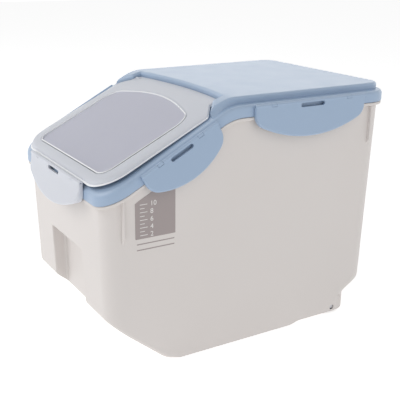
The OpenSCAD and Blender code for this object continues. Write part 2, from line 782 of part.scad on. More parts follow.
bin_body();
level_label();
axle_pin(-1);  // axle_pin_left
axle_pin(1);  // axle_pin_right
roller(-1);  // roller_left
roller(1);  // roller_right
main_lid();
main_lid_seal();
flip_hinge_pin(-1);  // flip_hinge_pin_left
flip_hinge_pin(1);  // flip_hinge_pin_right
flip_lid();
flip_lid_seal();
flip_latch();
flip_latch_pin();
side_latch(1, true);  // latch_right_rear
side_latch(1, false);  // latch_right_front
side_latch(-1, true);  // latch_left_rear
side_latch(-1, false);  // latch_left_front
side_latch_pin(1, true);  // latch_pin_right_rear
side_latch_pin(1, false);  // latch_pin_right_front
side_latch_pin(-1, true);  // latch_pin_left_rear
side_latch_pin(-1, false);  // latch_pin_left_front
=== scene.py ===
from math import acos, asin, atan, ceil, cos, pi, radians, sin, sqrt, tan

import bmesh
import bpy
from mathutils import Matrix, Vector


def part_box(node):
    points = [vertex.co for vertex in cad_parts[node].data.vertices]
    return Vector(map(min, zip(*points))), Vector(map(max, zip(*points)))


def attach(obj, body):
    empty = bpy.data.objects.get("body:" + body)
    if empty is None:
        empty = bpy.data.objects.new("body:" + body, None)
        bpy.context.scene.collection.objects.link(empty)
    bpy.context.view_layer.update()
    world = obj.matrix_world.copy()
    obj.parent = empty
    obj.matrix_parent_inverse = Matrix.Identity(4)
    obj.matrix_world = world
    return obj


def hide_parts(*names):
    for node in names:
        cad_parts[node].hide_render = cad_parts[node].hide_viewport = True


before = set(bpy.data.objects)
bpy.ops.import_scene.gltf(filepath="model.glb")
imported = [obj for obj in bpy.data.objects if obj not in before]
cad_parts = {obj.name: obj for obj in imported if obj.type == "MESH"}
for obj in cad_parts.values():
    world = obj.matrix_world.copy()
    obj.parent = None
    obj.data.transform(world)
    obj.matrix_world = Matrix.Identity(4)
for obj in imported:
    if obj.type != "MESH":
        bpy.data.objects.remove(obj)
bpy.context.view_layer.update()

# ---- Bin ----
# The storage bin: injection-moulded polypropylene in warm off-white, 2.4 mm thick, open at the
# top. Its walls lean in to the floor, a chamfer runs under the front wall, and the rear foot is
# set in below a sloping shoulder. A hand notch is pressed into the front, for pulling it out.
MM = 0.001
rim_gap = 0.3                                     # the rim flange stays this far inside the lid
lid_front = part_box("bin_body")[0][1] - rim_gap * MM
lid_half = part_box("bin_body")[1][0] / MM + rim_gap
lid_length = (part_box("bin_body")[1][1] - lid_front) / MM + rim_gap


def at(x, y, z):
    """A place in mm: x from the middle, y back from the lid's front edge, z up from the floor."""
    return Vector((x * MM, lid_front + y * MM, z * MM))


def pick(piece, kind, wanted):
    """Opens a piece with only the parts selected that wanted(middle in mm, direction) is true of.
    A face's direction is its normal, and an edge's is the way that it runs."""
    if bpy.context.mode != "OBJECT":
        bpy.ops.object.mode_set(mode="OBJECT")
    bpy.ops.object.select_all(action="DESELECT")
    bpy.context.view_layer.objects.active = piece
    piece.select_set(True)
    bpy.ops.object.mode_set(mode="EDIT")
    bpy.ops.mesh.select_mode(type=kind)
    bpy.ops.mesh.select_all(action="DESELECT")
    mesh = bmesh.from_edit_mesh(piece.data)
    for part in {"VERT": mesh.verts, "EDGE": mesh.edges, "FACE": mesh.faces}[kind]:
        ends = [part.co] if kind == "VERT" else [v.co for v in part.verts]
        middle = (sum(ends, Vector()) / len(ends) - at(0, 0, 0)) / MM
        way = part.normal if kind != "EDGE" else (ends[1] - ends[0]).normalized()
        part.select_set(wanted(middle, way))
    bmesh.update_edit_mesh(piece.data)


def close():
    bpy.ops.object.mode_set(mode="OBJECT")


def everything(middle, way):
    return True


def spot(a, b, level, plane):
    """The place (a, b) in a plane that lies at this level."""
    return {"XY": at(a, b, level), "YZ": at(level, a, b), "XZ": at(a, level, b)}[plane]


arc_error, least_r, doubled = 0.04, 0.5, 0.02     # in mm, for the steps of arcs and for merging corners


def trace(name, corners, level=0, plane="XY"):
    """A flat outline drawn from its corners, each (a, b, radius) in the plane at this level. A
    corner with a radius is swung round as an arc."""
    bpy.ops.object.select_all(action="DESELECT")
    bpy.ops.mesh.primitive_plane_add(size=MM)
    outline = bpy.context.object
    outline.name = outline.data.name = name
    bpy.ops.object.mode_set(mode="EDIT")
    bpy.ops.mesh.select_mode(type="VERT")
    bpy.ops.mesh.select_all(action="SELECT")
    bpy.ops.mesh.merge(type="CENTER")
    pen = Vector()
    for i, (a, b, radius) in enumerate(corners):
        corner = Vector((a, b))
        back = (Vector(corners[i - 1][:2]) - corner).normalized()
        ahead = (Vector(corners[(i + 1) % len(corners)][:2]) - corner).normalized()
        half = back.angle(ahead) / 2
        start = spot(*(corner + back * (radius / tan(half))), level, plane)
        if i == 0:
            bpy.ops.transform.translate(value=start - pen)
        else:
            bpy.ops.mesh.extrude_region_move(TRANSFORM_OT_translate={"value": start - pen})
        pen = start
        if radius:
            turn = (pi - 2 * half) * (-1 if back.cross(ahead) < 0 else 1)   # spin turns clockwise
            centre = corner + (back + ahead).normalized() * (radius / sin(half))
            steps = max(3, ceil(abs(turn) / (2 * acos(1 - arc_error / max(radius, least_r)))))
            bpy.ops.mesh.spin(steps=steps, angle=turn, center=spot(*centre, level, plane),
                              axis={"XY": (0, 0, 1), "YZ": (1, 0, 0), "XZ": (0, -1, 0)}[plane])
            pen = spot(*(corner + ahead * (radius / tan(half))), level, plane)
    bpy.ops.mesh.select_all(action="SELECT")
    bpy.ops.mesh.remove_doubles(threshold=doubled * MM)
    bpy.ops.mesh.edge_face_add()
    close()
    return outline


def box_outline(half, front, rear, radius=0):
    return [(-half, front, radius), (half, front, radius), (half, rear, radius), (-half, rear, radius)]


ledge_z, skirt_h = 262, 12                        # level ledge of the lid, height of its skirt
slope, bend_y, bend_r = radians(27.8), 140, 50    # how the lid's front falls, and the bend before it
rim_height, wall_t, bin_r = 250, 2.4, 23.2
side_inset, side_lean = 4.8, 2.8                  # of the walls at the rim, and how far they lean in
front_inset, front_lean = 2.6, 6.4
rear_inset, rear_lean = 4.8, 9
foot_y, foot_h, shoulder_h, shoulder_steps = lid_length - 34.5, 20, 20, 8
chamfer_foot, chamfer_top, chamfer_r, base_r = (71.5, 0), (9, 52.5), 10, 3.2
hair, mostly = 0.1, 0.9                           # nearer than this in mm, or more along an axis, is on it


def side_wall(z):
    return lid_half - side_inset - side_lean * (1 - z / rim_height)


def front_wall(z):
    return front_inset + front_lean * (1 - z / rim_height)


def rear_wall(z):
    upper = lid_length - rear_inset - rear_lean * (1 - max(z, foot_h + shoulder_h) / rim_height)
    done = min(1, max(0, (z - foot_h) / shoulder_h))
    return foot_y + (upper - foot_y) * (1 - cos(pi * done)) / 2


bin_shell = trace("bin_shell", box_outline(side_wall(0), front_wall(0), rear_wall(0), bin_r))
below = 0
for z in [foot_h + shoulder_h * i / shoulder_steps for i in range(shoulder_steps + 1)] + [ledge_z]:
    pick(bin_shell, "FACE", lambda p, n: abs(p.z - below) < hair and abs(n.z) > mostly)
    bpy.ops.mesh.extrude_region_move(TRANSFORM_OT_translate={"value": at(0, 0, z) - at(0, 0, below)})
    bpy.ops.transform.resize(value=(side_wall(z) / side_wall(below), 1, 1))
    for wall, behind in ((front_wall, False), (rear_wall, True)):
        pick(bin_shell, "VERT", lambda p, n: abs(p.z - z) < hair and (p.y > lid_length / 2) == behind)
        bpy.ops.transform.translate(value=(0, (wall(z) - wall(below)) * MM, 0))
    below = z
pick(bin_shell, "FACE", everything)
bpy.ops.mesh.normals_make_consistent(inside=False)
close()


def slice_through(piece, place, across, **settings):
    pick(piece, "FACE", everything)
    bpy.ops.mesh.bisect(plane_co=place, plane_no=across, **settings)
    close()


def flatten(piece, angle):
    """Makes one face of those that lie within this angle in degrees of each other."""
    pick(piece, "FACE", everything)
    bpy.ops.mesh.dissolve_limited(angle_limit=radians(angle))
    close()


def round_edges(piece, radius, wanted, steps=4):
    pick(piece, "EDGE", wanted)
    bpy.ops.mesh.bevel(offset=radius * MM, segments=steps, affect="EDGES")
    close()


chamfer = Vector((0, chamfer_top[0] - chamfer_foot[0], chamfer_top[1])).normalized()
under_front = Vector((0, -chamfer.z, chamfer.y))
slice_through(bin_shell, at(0, *chamfer_foot), under_front, use_fill=True, clear_outer=True)
flatten(bin_shell, 0.5)
round_edges(bin_shell, chamfer_r, lambda p, d: abs(d.x) > mostly and abs(p.y - chamfer_foot[0]) < hair)
pick(bin_shell, "FACE", lambda p, n: n.z < -0.5 and p.y < foot_y - bin_r)
bpy.ops.mesh.region_to_loop()
bpy.ops.mesh.bevel(offset=base_r * MM, segments=4, affect="EDGES", loop_slide=False)
close()

# The base rises a little ahead of the rollers, so that the bin stands on its front part and on them.
base_end, lift_run, base_lift, lift_steps = 226, 16, 3, 6
lift_cuts = [base_end + lift_run * i / lift_steps for i in range(lift_steps + 1)]
for y in lift_cuts:
    slice_through(bin_shell, at(0, y, 0), (0, 1, 0))
for y in lift_cuts:
    lift = base_lift * (1 - cos(pi * (y - base_end) / lift_run)) / 2
    behind = lid_length if y == lift_cuts[-1] else y + hair
    pick(bin_shell, "VERT", lambda p, n: p.z < base_r + hair and y - hair < p.y < behind)
    bpy.ops.transform.translate(value=(0, 0, lift * MM))
    close()


def solid(name, corners, low, high, plane="XY"):
    """A block with straight sides on an outline, between two levels in mm."""
    piece = trace(name, corners, low, plane)
    pick(piece, "FACE", everything)
    move = spot(0, 0, high, plane) - spot(0, 0, low, plane)
    bpy.ops.mesh.extrude_region_move(TRANSFORM_OT_translate={"value": move})
    bpy.ops.mesh.select_all(action="SELECT")
    bpy.ops.mesh.normals_make_consistent(inside=False)
    close()
    return piece


def apply(piece, kind, **settings):
    """Adds a modifier with these settings and applies it."""
    bpy.ops.object.select_all(action="DESELECT")
    bpy.context.view_layer.objects.active = piece
    piece.select_set(True)
    step = piece.modifiers.new(kind, kind)
    for setting, value in settings.items():
        setattr(step, setting, value)
    bpy.ops.object.modifier_apply(modifier=step.name)


def carve(piece, tool, operation="DIFFERENCE"):
    """Cuts the tool out of a piece, or fuses the two with UNION, and uses the tool up."""
    apply(piece, "BOOLEAN", object=tool, operation=operation, solver="EXACT")
    bpy.data.objects.remove(tool)


def rod(name, radius, low, high, a, b, axis="X", sides=48):
    """A round bar along x or y, from low to high, round the line through (a, b)."""
    bpy.ops.object.select_all(action="DESELECT")
    middle = (low + high) / 2
    place = at(middle, a, b) if axis == "X" else at(a, middle, b)
    turned = (0, pi / 2, 0) if axis == "X" else (pi / 2, 0, 0)
    bpy.ops.mesh.primitive_cylinder_add(vertices=sides, radius=radius * MM, depth=(high - low) * MM,
                                        location=place, rotation=turned)
    bar = bpy.context.object
    bar.name = bar.data.name = name
    bpy.ops.object.transform_apply(location=True, rotation=True, scale=True)
    return bar


notch_half, notch_top, notch_depth, notch_corner, notch_edge = 43, 113, 21.1, 3, 1.5
notch_edge_foot, notch_lip = 45, 12               # rounded above this height, and in front of this y
out = 10                                          # how far the tools for the notch and the wells stick out
carve(bin_shell, solid("notch", box_outline(notch_half, -out, notch_depth, notch_corner), -out, notch_top))
round_edges(bin_shell, notch_edge, lambda p, d: p.y < notch_depth + hair and abs(p.x) < notch_half + hair
            and p.z > notch_edge_foot and (abs(p.z - notch_top) < hair or p.y < notch_lip), steps=3)
roller_y, roller_r, axle_hole_r = lid_length - 61.4, 8, 3.1
well_inner, well_half, well_top = 89.3, 10, 18
well_front, well_rear = roller_y - well_half, roller_y + well_half
for side in (-1, 1):
    low, high = sorted((side * well_inner, side * (side_wall(0) - wall_t)))
    carve(bin_shell, solid("well", [(low, well_front, 0), (high, well_front, 0), (high, well_rear, 0),
                                    (low, well_rear, 0)], -out, well_top))
    low, high = sorted((side * (side_wall(0) - wall_t - 1), side * (side_wall(0) + 1)))
    carve(bin_shell, rod("axle_hole", axle_hole_r, low, high, roller_y, roller_r))

pick(bin_shell, "FACE", lambda p, n: p.z > ledge_z - 1 and n.z > mostly)
bpy.ops.mesh.delete(type="FACE")
close()
rim_z = ledge_z - 5.5
slice_through(bin_shell, at(0, 0, rim_z), (0, 0, 1), clear_outer=True)
slice_through(bin_shell, at(0, bend_y, rim_z), (0, -sin(slope), cos(slope)), clear_outer=True)
apply(bin_shell, "SOLIDIFY", thickness=wall_t * MM, offset=-1, use_even_offset=True)


def drop(y, foot=bend_y):
    """How far in mm the lid's side line has come down, y behind its front edge."""
    run = bend_r * tan(slope / 2)
    if y > foot + run:
        return 0
    if y > foot - run:
        return bend_r - sqrt(bend_r ** 2 - (foot + run - y) ** 2)
    return (foot - y) * tan(slope)


def shift_up(piece, height, share):
    """Moves each corner of a piece up by its share, 0 to 1, of a height in mm."""
    group = piece.vertex_groups.new(name="share")
    for v in piece.data.vertices:
        group.add([v.index], share((v.co - at(0, 0, 0)) / MM), "REPLACE")
    apply(piece, "DISPLACE", direction="Z", mid_level=0, strength=height * MM, vertex_group="share")
    piece.vertex_groups.clear()


def drape(piece, foot=bend_y):
    """Presses a piece that was drawn level down along the lid's side line, which bends at foot."""
    run, cuts = bend_r * tan(slope / 2), 5
    for i in range(-cuts, cuts + 1):
        slice_through(piece, at(0, foot + run * i / cuts, 0), (0, 1, 0))
    deepest = drop(-10, foot)
    shift_up(piece, -deepest, lambda p: drop(p.y, foot) / deepest)


# The flange round the rim, which the side latches hook under, and the four upright ribs below it.
# They are moulded with the bin.
lid_r, past = 28, 5                               # the lid's corners, and how far a cutting tool sticks out


def lid_outline(inset):
    return box_outline(lid_half - inset, inset, lid_length - inset, lid_r - inset)


def ring(name, inner, outer, low, high):
    piece = solid(name, outer, low, high)
    carve(piece, solid("hole", inner, low - past, high + past))
    return piece


def from_corner(p):
    """How far in mm a place is from the middle of the nearest corner's arc, seen from above."""
    return Vector((abs(p.x) - 91, max(lid_r - p.y, p.y - lid_length + lid_r))).length


flange_top, flange_t, flange_inner, flange_edge = ledge_z - skirt_h - 0.5, 3.2, 5.4, 0.8
rim_flange = ring("rim_flange", lid_outline(flange_inner), lid_outline(rim_gap),
                  flange_top - flange_t, flange_top)
round_edges(rim_flange, flange_edge, lambda p, d: abs(d.z) < hair and from_corner(p) > lid_r - 3, 3)
drape(rim_flange)

rib_front, rib_rear, rib_gap = 21, lid_length - 28, 2
rib_t, rib_out, rib_length, rib_point, rib_edge, rib_root = 1.6, 3.9, 45.5, 6, 0.6, 1
ribs = []
for rib_y in (rib_front, rib_rear):
    top = ledge_z - drop(rib_y) - skirt_h - rib_gap
    foot = top - rib_length
    inner, outer = side_wall(top) - rib_root, side_wall(top) + rib_out
    near, far = rib_y - rib_t / 2, rib_y + rib_t / 2
    rib = solid("rib", [(inner, near, 0), (outer, near, rib_edge), (outer, far, rib_edge), (inner, far, 0)],
                foot, top)
    slice_through(rib, at(0, 0, foot + rib_point), (0, 0, 1))
    pick(rib, "VERT", lambda p, n: p.z < foot + rib_point + hair)
    bpy.ops.transform.translate(value=((side_wall(foot) - side_wall(top)) * MM, 0, 0))
    pick(rib, "VERT", lambda p, n: p.z < foot + hair and p.x > side_wall(foot))
    bpy.ops.transform.translate(value=(-rib_out * MM, 0, 0))
    close()
    ribs.append(rib)


def mirrored(piece, name):
    """A copy on the other side, x for -x, with its own mesh."""
    twin = piece.copy()
    twin.data = piece.data.copy()
    twin.name = twin.data.name = name
    bpy.context.collection.objects.link(twin)
    pick(twin, "FACE", everything)
    bpy.ops.transform.mirror(constraint_axis=(True, False, False), center_override=(0, 0, 0))
    bpy.ops.mesh.normals_make_consistent(inside=False)
    close()
    return twin


def joined(name, pieces):
    bpy.ops.object.select_all(action="DESELECT")
    for piece in pieces:
        piece.select_set(True)
    bpy.context.view_layer.objects.active = pieces[0]
    bpy.ops.object.join()
    pieces[0].name = pieces[0].data.name = name
    return pieces[0]


rim_ribs = joined("rim_ribs", ribs + [mirrored(rib, "rib") for rib in ribs])


def smooth(piece, angle=32):
    """Soft shading over the rounds, with the flat faces kept flat."""
    bpy.ops.object.select_all(action="DESELECT")
    bpy.context.view_layer.objects.active = piece
    piece.select_set(True)
    bpy.ops.object.shade_smooth_by_angle(angle=radians(angle))
    apply(piece, "WEIGHTED_NORMAL", keep_sharp=True)


class Wire:
    """A node's output in a material. Sums on it add their Math nodes."""

    def __init__(self, tree, socket):
        self.tree, self.socket = tree, socket

    def node(self, kind, settings=None, inputs=None, output=0):
        """Any other node: its type, its own settings, and the values or wires of its sockets."""
        made = self.tree.nodes.new("ShaderNode" + kind)
        for setting, value in (settings or {}).items():
            setattr(made, setting, value)
        for name, value in (inputs or {}).items():
            if isinstance(value, Wire):
                self.tree.links.new(value.socket, made.inputs[name])
            else:
                made.inputs[name].default_value = value
        return Wire(self.tree, made.outputs[output])

    def sum(self, operation, *terms):
        return self.node("Math", {"operation": operation}, dict(enumerate(terms)))

    def __add__(self, other):
        return self.sum("ADD", self, other)

    def __mul__(self, other):
        return self.sum("MULTIPLY", self, other)

    __radd__, __rmul__ = __add__, __mul__


def colour(red, green, blue):
    """A colour as it looks on a screen, 0 to 255, as light."""
    return tuple(((c / 255 + 0.055) / 1.055) ** 2.4 for c in (red, green, blue)) + (1,)


def moulded(name, tint, shade, roughness, grain=1.0, **uniform):
    """Moulded plastic: a fine spark-eroded skin, slow drifts of tone between tint and shade, and
    patches that handling has polished. uniform sets sockets that are the same all over."""
    material = bpy.data.materials.new(name)
    material.use_nodes = True
    tree = material.node_tree
    skin = tree.nodes["Principled BSDF"]
    place = Wire(tree, tree.nodes.new("ShaderNodeTexCoord").outputs["Object"])

    def noise(scale, detail, fineness):
        return place.node("TexNoise", None, {"Vector": place, "Scale": scale, "Detail": detail,
                                             "Roughness": fineness})

    drift, handled, spark, waves = noise(7, 2, 0.5), noise(38, 4, 0.6), noise(1400, 2, 0.6), noise(16, 1, 0.4)
    tone = place.node("Mix", {"data_type": "RGBA"}, {0: drift * 0.7 + spark * 0.3, 6: tint, 7: shade}, 2)
    polish, spark_height, wave_height = 0.16, 0.00002, 0.0001
    worn = handled * polish + (roughness - polish / 2)
    height = spark * (spark_height * grain) + waves * wave_height
    bump = place.node("Bump", None, {"Strength": 0.6, "Distance": 1.0, "Height": height})
    for socket, wire in (("Base Color", tone), ("Roughness", worn), ("Normal", bump)):
        tree.links.new(wire.socket, skin.inputs[socket])
    for socket, value in uniform.items():
        skin.inputs[socket].default_value = value
    return material


def dress(piece, body, slot, material, *replaced):
    """Gives a piece its material, the body that it moves with and the nodes that it stands for."""
    piece.data.materials.clear()
    piece.data.materials.append(material)
    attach(piece, body)
    if replaced:
        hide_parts(*replaced)


cream = moulded("bin_plastic", colour(222, 217, 214), colour(215, 209, 206), 0.42)
for piece in (bin_shell, rim_flange, rim_ribs):
    smooth(piece)
dress(bin_shell, "bin", "bin_plastic", cream, "bin_body")
dress(rim_flange, "bin", "bin_plastic", cream)
dress(rim_ribs, "bin", "bin_plastic", cream)

# ---- Level label ----
# The printed panel on the right wall: a grey film 0.3 mm thick with a level scale in white, and
# two plain bars printed under it.
label_front, label_rear, label_low, label_drop, label_t, label_r = 34, 77.5, 142, 27.6, 0.3, 0.5
lean, film_gap = atan(side_lean / rim_height), 0.02


def label_top(y):
    return ledge_z - drop(y) - label_drop


def on_wall(piece):
    """Moves a piece drawn at x = 0 out to the right wall and leans it back against it."""
    bpy.ops.object.select_all(action="DESELECT")
    piece.select_set(True)
    bpy.context.view_layer.objects.active = piece
    piece.matrix_world = (Matrix.Translation(at(side_wall(0) + film_gap, 0, 0))
                          @ Matrix.Rotation(lean, 4, "Y")
                          @ Matrix.Translation(-at(0, 0, 0)) @ piece.matrix_world)
    bpy.ops.object.transform_apply(location=True, rotation=True, scale=True)
    return piece


def strip(name, start, end, low, high, near, far):
    """A printed strip, drawn at x = 0: from start to end along y, between two heights."""
    return solid(name, [(start, low, 0), (end, low, 0), (end, high, 0), (start, high, 0)], near, far, "YZ")


label_plate = solid("label_plate", [(label_front, label_low, label_r), (label_rear, label_low, label_r),
                                    (label_rear, label_top(label_rear), label_r),
                                    (label_front, label_top(label_front), label_r)], 0, label_t, "YZ")
on_wall(label_plate)
first_level, last_level, scale_low, scale_step = 2, 10, label_low + 3.5, 3.9
tick_start, short_end, long_end = label_front + 5, label_front + 10, label_front + 13
tick_t, print_t, number_gap, number_h = 0.6, 0.08, 3, 7
marks = []
for level in range(first_level, last_level + 1):
    z = scale_low + scale_step * (level - first_level)
    numbered = level % 2 == 0
    end = long_end if numbered else short_end
    marks.append(strip("tick", tick_start, end, z - tick_t / 2, z + tick_t / 2, label_t, label_t + print_t))
    if numbered:
        bpy.ops.object.select_all(action="DESELECT")
        bpy.ops.object.text_add()
        number = bpy.context.object
        number.data.body, number.data.align_y, number.data.size = str(level), "CENTER", number_h * MM
        number.data.extrude = print_t / 2 * MM
        bpy.ops.object.convert(target="MESH")
        number.matrix_world = (Matrix.Translation(at(label_t + print_t / 2, end + number_gap, z))
                               @ Matrix(((0, 0, 1, 0), (1, 0, 0, 0), (0, 1, 0, 0), (0, 0, 0, 1))))
        bpy.ops.object.transform_apply(location=True, rotation=True, scale=True)
        marks.append(number)
label_marks = on_wall(joined("label_marks", marks))
rule_start, rule_end, rule_gap, rule_t = label_front + 1.5, label_rear - 1, 6, 1.1
rules = [strip("rule", rule_start, rule_end, label_low - fall, label_low - fall + rule_t, 0, print_t)
         for fall in (rule_gap, 2 * rule_gap)]
label_rules = on_wall(joined("label_rules", rules))
grey_film = moulded("label_print", colour(164, 154, 153), colour(158, 148, 147), 0.5, 0.3)
white_print = moulded("scale_print", colour(236, 234, 233), colour(230, 228, 227), 0.5, 0.3)
dress(label_plate, "bin", "label_print", grey_film, "level_label")
dress(label_marks, "bin", "label_print", white_print)
dress(label_rules, "bin", "label_print", grey_film)

# ---- Rollers ----
# Two grey moulded rollers on steel pins in wells under the rear foot, each with a dished face and a
# hub that keeps it off the wall.
roller_low, roller_high, hub_end, hub_r, bore_r = 89.6, 102.6, 108.9, 5, 2.96
roller_edge, dish_rim, dish_depth = 1, 1.8, 0.8
roller = rod("roller", roller_r, roller_low, roller_high, roller_y, roller_r)
round_edges(roller, roller_edge,
            lambda p, d: abs(d.x) < 0.5 and not roller_low + hair < p.x < roller_high - hair)
carve(roller, rod("hub", hub_r, roller_low + 1, hub_end, roller_y, roller_r), "UNION")
for face in (roller_low, roller_high):
    dish = rod("dish", roller_r - dish_rim, face - dish_depth, face + dish_depth, roller_y, roller_r)
    carve(dish, rod("core", hub_r, face - 2, face + 2, roller_y, roller_r))
    carve(roller, dish)
carve(roller, rod("bore", bore_r, roller_low - past, hub_end + past, roller_y, roller_r))
smooth(roller)
roller.name = roller.data.name = "roller_disc_right"
roller_grey = moulded("roller_plastic", colour(150, 147, 146), colour(140, 137, 136), 0.5)
dress(roller, "roller_right", "roller_plastic", roller_grey, "roller_right")
dress(mirrored(roller, "roller_disc_left"), "roller_left", "roller_plastic", roller_grey, "roller_left")

# ---- Main lid ----
# The lift-off lid in pale blue polypropylene: level at the rear and sloping down in front, with a
# raised hollow panel, a skirt over the bin's flange, and a pour opening with an upstanding collar.
lid_t, skirt_t, lid_edge, skirt_edge = 2.2, 2.2, 4, 0.6
panel_rise, panel_edge, panel_r, panel_half, panel_back = 7.3, 3, 17, lid_half - 11.2, 4.9
cheek_y, cheek_run, cheek_w = 119.8, 13.2, 17     # the cheeks beside the flip lid's hinge
recess_half, recess_mid, recess_r = panel_half - cheek_w, 152, 495
bow = recess_r - sqrt(recess_r ** 2 - recess_half ** 2)
flare, flare_end, flare_step, flare_steps = 7, 153, 4.5, 7     # the panel's sides spread at the foot


def recess(grow, front):
    """The recess behind the flip lid's hinge, closed by a shallow arc at the rear."""
    half, end = recess_half + grow, recess_mid - bow + grow
    reach = half ** 2 / sqrt((recess_r + grow) ** 2 - half ** 2)
    return [(-half, front, 0), (half, front, 0), (half, end, 0), (0, end + reach, recess_r + grow),
            (-half, end, 0)]


def panel(inset):
    """The raised panel's outline. The cheeks slant, so their edges move by their own shares."""
    half, back, cheek = panel_half - inset, lid_length - panel_back - inset, cheek_y + inset * 1.4
    run = cheek_run - inset * 0.9
    right, rear, left = recess(inset, 0)[2:]
    corner_r = panel_r - inset
    return [(half, cheek, 0), (half, back, corner_r), (-half, back, corner_r), (-half, cheek, 0),
            (left[0], cheek + run, 0), left, rear, right, (right[0], cheek + run, 0)]


def pour(grow):
    pour_half, pour_front, pour_rear, pour_r = 78, 20, 112, 16
    return box_outline(pour_half + grow, pour_front - grow, pour_rear + grow, pour_r + grow)


deep, beyond = 20, 30                             # how far up or down the tools for hollows reach
lid_shell = solid("lid_shell", lid_outline(0), ledge_z - skirt_h, ledge_z)
round_edges(lid_shell, lid_edge, lambda p, d: p.z > ledge_z - hair, 6)
round_edges(lid_shell, skirt_edge, lambda p, d: p.z < ledge_z - skirt_h + hair and abs(d.z) < hair, 2)
carve(lid_shell, solid("hollow", lid_outline(skirt_t), ledge_z - deep, ledge_z - lid_t))
raised = solid("raised", panel(0), ledge_z - lid_t, ledge_z + panel_rise)
round_edges(raised, panel_edge, lambda p, d: p.z > ledge_z + panel_rise - hair, 5)
flare_cuts = [flare_end - flare_step * i for i in range(flare_steps + 1)]
for start in flare_cuts[1:]:
    slice_through(raised, at(0, start, 0), (0, 1, 0))
for side in (-1, 1):
    for i, start in enumerate(flare_cuts):
        pick(raised, "VERT", lambda p, n: p.z < ledge_z and side * p.x > panel_half - hair
             and abs(p.y - start) < flare_step / 2)
        bpy.ops.transform.translate(value=(side * flare * (i / flare_steps) ** 2 * MM, 0, 0))
        close()
carve(lid_shell, raised, "UNION")
carve(lid_shell, solid("hollow", panel(lid_t), ledge_z - deep, ledge_z + panel_rise - lid_t))
collar_t, collar_foot, collar_rise = 2, 9, 1.2
carve(lid_shell, solid("collar", pour(collar_t), ledge_z - collar_foot, ledge_z + collar_rise), "UNION")
carve(lid_shell, solid("pour_opening", pour(0), ledge_z - deep, ledge_z + deep))
rib_inner, rib_outer, rib_foot = 10.7, 9.2, 9.2   # of the rib that keeps the lid in place on the rim
carve(lid_shell, ring("locating_rib", lid_outline(rib_inner), lid_outline(rib_outer), ledge_z - rib_foot,
                      ledge_z - 1), "UNION")
drape(lid_shell)

# The trough that the flip lid's heel turns in, its two hinge bosses, and the catch at the front.
pivot_y, pivot_z, trough_r = 138, 260.9, 14
above = solid("above", lid_outline(-10), ledge_z - 0.05, ledge_z + 3 * deep)
drape(above)
for grow, operation in ((lid_t, "UNION"), (0, "DIFFERENCE")):
    r = trough_r + grow
    front, rear = pivot_y - r, pivot_y + r
    bottom = [(front, pivot_z - r, r), (rear, pivot_z - r, r)]
    sides = [(rear, ledge_z + 1, 0), (front, ledge_z + 1, 0)]
    if not grow:
        sides = [(rear, pivot_z, 0), (rear + deep, pivot_z, 0), (rear + deep, ledge_z + beyond, 0),
                 (front, ledge_z + beyond, 0)]
    trough = solid("trough", bottom + sides, -recess_half - grow, recess_half + grow, "YZ")
    carve(trough, solid("recess", recess(grow, front - past), ledge_z - 3 * deep, ledge_z + 3 * deep),
          "INTERSECT")
    if grow:
        carve(trough, above)
    carve(lid_shell, trough, operation)
boss_r, boss_low, boss_high = 2.8, recess_half + 1.1, recess_half + 5.1
for side in (-1, 1):
    low, high = sorted((side * boss_low, side * boss_high))
    carve(lid_shell, rod("boss", boss_r, low, high, pivot_y, pivot_z), "UNION")
catch_half, catch_out, catch_in, catch_low, catch_high = 57, -1.2, 1.1, 179.7, 181.9
carve(lid_shell, solid("catch", box_outline(catch_half, catch_out, catch_in), catch_low, catch_high), "UNION")
smooth(lid_shell)
blue = moulded("lid_plastic", colour(163, 184, 209), colour(157, 178, 204), 0.34)
dress(lid_shell, "main_lid", "lid_plastic", blue, "main_lid")

# ---- Latches ----
# Five half-moon flaps in one pattern: a barrel that turns on a steel pin between two ears, a
# sloping band with a slot, and an upright plate with a ridge inside that snaps under the rim.
barrel_x, barrel_z, barrel_r, pin_bore_r = 2.3, -2.2, 2, 0.96
wall_x, face_x, band_z, plate_t, plate_round = 0.5, 4.9, -9.5, 1.9, 2.4
brow_z, brow_r, brow_out, brow_low = -0.6, 1.2, 1.6, -1.2      # the rounded top of the band
ear_w, ear_inset, arm_h, gap, slip = 6, 22, 2, 0.3, 0.02
slot_z, slot_h, hook_h, hook_inset, hook_bite = -4.9, 4.4, 2.2, 4, 0.4


def ears(length, root):
    """The two lugs that hold a latch's pin, drawn with x out of the skirt and y along the hinge."""
    lugs = []
    low, high = barrel_z - arm_h / 2, barrel_z + arm_h / 2
    for middle in (ear_inset - length / 2, length / 2 - ear_inset):
        start, end = middle - ear_w / 2, middle + ear_w / 2
        lug = rod("lug", barrel_r, start, end, barrel_x, barrel_z, "Y")
        arm = [(-root, low, 0), (barrel_x, low, 0), (barrel_x, high, 0), (-root, high, 0)]
        carve(lug, solid("arm", arm, start + slip, end - slip, "XZ"), "UNION")
        lugs.append(lug)
    return joined("lugs", lugs)


def half_moon(half, depth, edge_r, corner_r, low, high):
    """A block with a latch's outline: straight ends, round corners and a shallow round lower edge."""
    away = asin((half - corner_r) / (edge_r - corner_r))
    meet = (edge_r * sin(away), edge_r - depth - edge_r * cos(away))
    side = meet[1] + (half - meet[0]) * tan(away)
    tip = meet[1] - meet[0] * tan(away)
    return solid("flap", [(-half, 0, 0), (-half, side, corner_r), (0, tip, edge_r), (half, side, corner_r),
                          (half, 0, 0)], low, high, "YZ")


